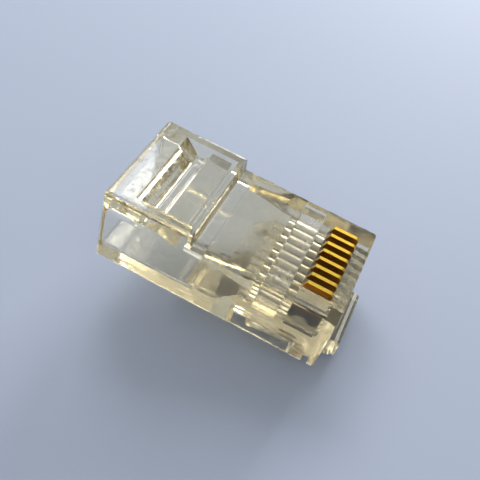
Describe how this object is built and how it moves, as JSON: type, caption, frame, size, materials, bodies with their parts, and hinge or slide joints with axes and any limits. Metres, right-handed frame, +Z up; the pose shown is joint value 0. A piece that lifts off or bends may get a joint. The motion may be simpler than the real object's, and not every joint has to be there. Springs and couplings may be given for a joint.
{
  "type": "modular plug",
  "caption": "Clear moulded modular data plug with gold contact blades, spring latch, and fold-in cable anchor, ready to crimp.",
  "frame": {"origin": "centre of the footprint box on the surface the plug lies on, with the latch underneath", "axes": "+Z up, +X towards the nose that enters the jack, Y across the contact row; the body is pitched about 10 degrees nose down, because the plug lies on its own latch"},
  "size_m": [0.023, 0.0116, 0.0129],
  "materials": {
    "clear_plastic": "clear, faintly yellow polycarbonate with a polished mould surface",
    "contact_metal": "bright gold plating over copper alloy"
  },
  "bodies": {
    "housing": {"housing": "clear_plastic"},
    "latch": {"latch": "clear_plastic"},
    "cable_anchor": {"cable_anchor": "clear_plastic"},
    "conductor_clamp": {"conductor_clamp": "clear_plastic"},
    "contact_1": {"contact_1": "contact_metal"},
    "contact_2": {"contact_2": "contact_metal"},
    "contact_3": {"contact_3": "contact_metal"},
    "contact_4": {"contact_4": "contact_metal"},
    "contact_5": {"contact_5": "contact_metal"},
    "contact_6": {"contact_6": "contact_metal"},
    "contact_7": {"contact_7": "contact_metal"},
    "contact_8": {"contact_8": "contact_metal"}
  },
  "joints": [
    {"name": "latch_press", "type": "hinge", "parent": "housing", "child": "latch", "pos_m": [0.01049, 0, 0.00051], "axis": [0, 1, 0], "range_deg": [0, 8.5], "stiffness_Nm_per_rad": 0.25},
    {"name": "anchor_fold", "type": "hinge", "parent": "housing", "child": "cable_anchor", "pos_m": [-0.00627, 0, 0.01044], "axis": [0, 1, 0], "range_deg": [0, 25]},
    {"name": "clamp_press", "type": "slide", "parent": "housing", "child": "conductor_clamp", "axis": [0.1736, 0, 0.9848], "range_m": [-0.0011, 0]},
    {"name": "contact_1_crimp", "type": "slide", "parent": "housing", "child": "contact_1", "axis": [0.1736, 0, 0.9848], "range_m": [-0.0012, 0]},
    {"name": "contact_2_crimp", "type": "slide", "parent": "housing", "child": "contact_2", "axis": [0.1736, 0, 0.9848], "range_m": [-0.0012, 0]},
    {"name": "contact_3_crimp", "type": "slide", "parent": "housing", "child": "contact_3", "axis": [0.1736, 0, 0.9848], "range_m": [-0.0012, 0]},
    {"name": "contact_4_crimp", "type": "slide", "parent": "housing", "child": "contact_4", "axis": [0.1736, 0, 0.9848], "range_m": [-0.0012, 0]},
    {"name": "contact_5_crimp", "type": "slide", "parent": "housing", "child": "contact_5", "axis": [0.1736, 0, 0.9848], "range_m": [-0.0012, 0]},
    {"name": "contact_6_crimp", "type": "slide", "parent": "housing", "child": "contact_6", "axis": [0.1736, 0, 0.9848], "range_m": [-0.0012, 0]},
    {"name": "contact_7_crimp", "type": "slide", "parent": "housing", "child": "contact_7", "axis": [0.1736, 0, 0.9848], "range_m": [-0.0012, 0]},
    {"name": "contact_8_crimp", "type": "slide", "parent": "housing", "child": "contact_8", "axis": [0.1736, 0, 0.9848], "range_m": [-0.0012, 0]}
  ]
}
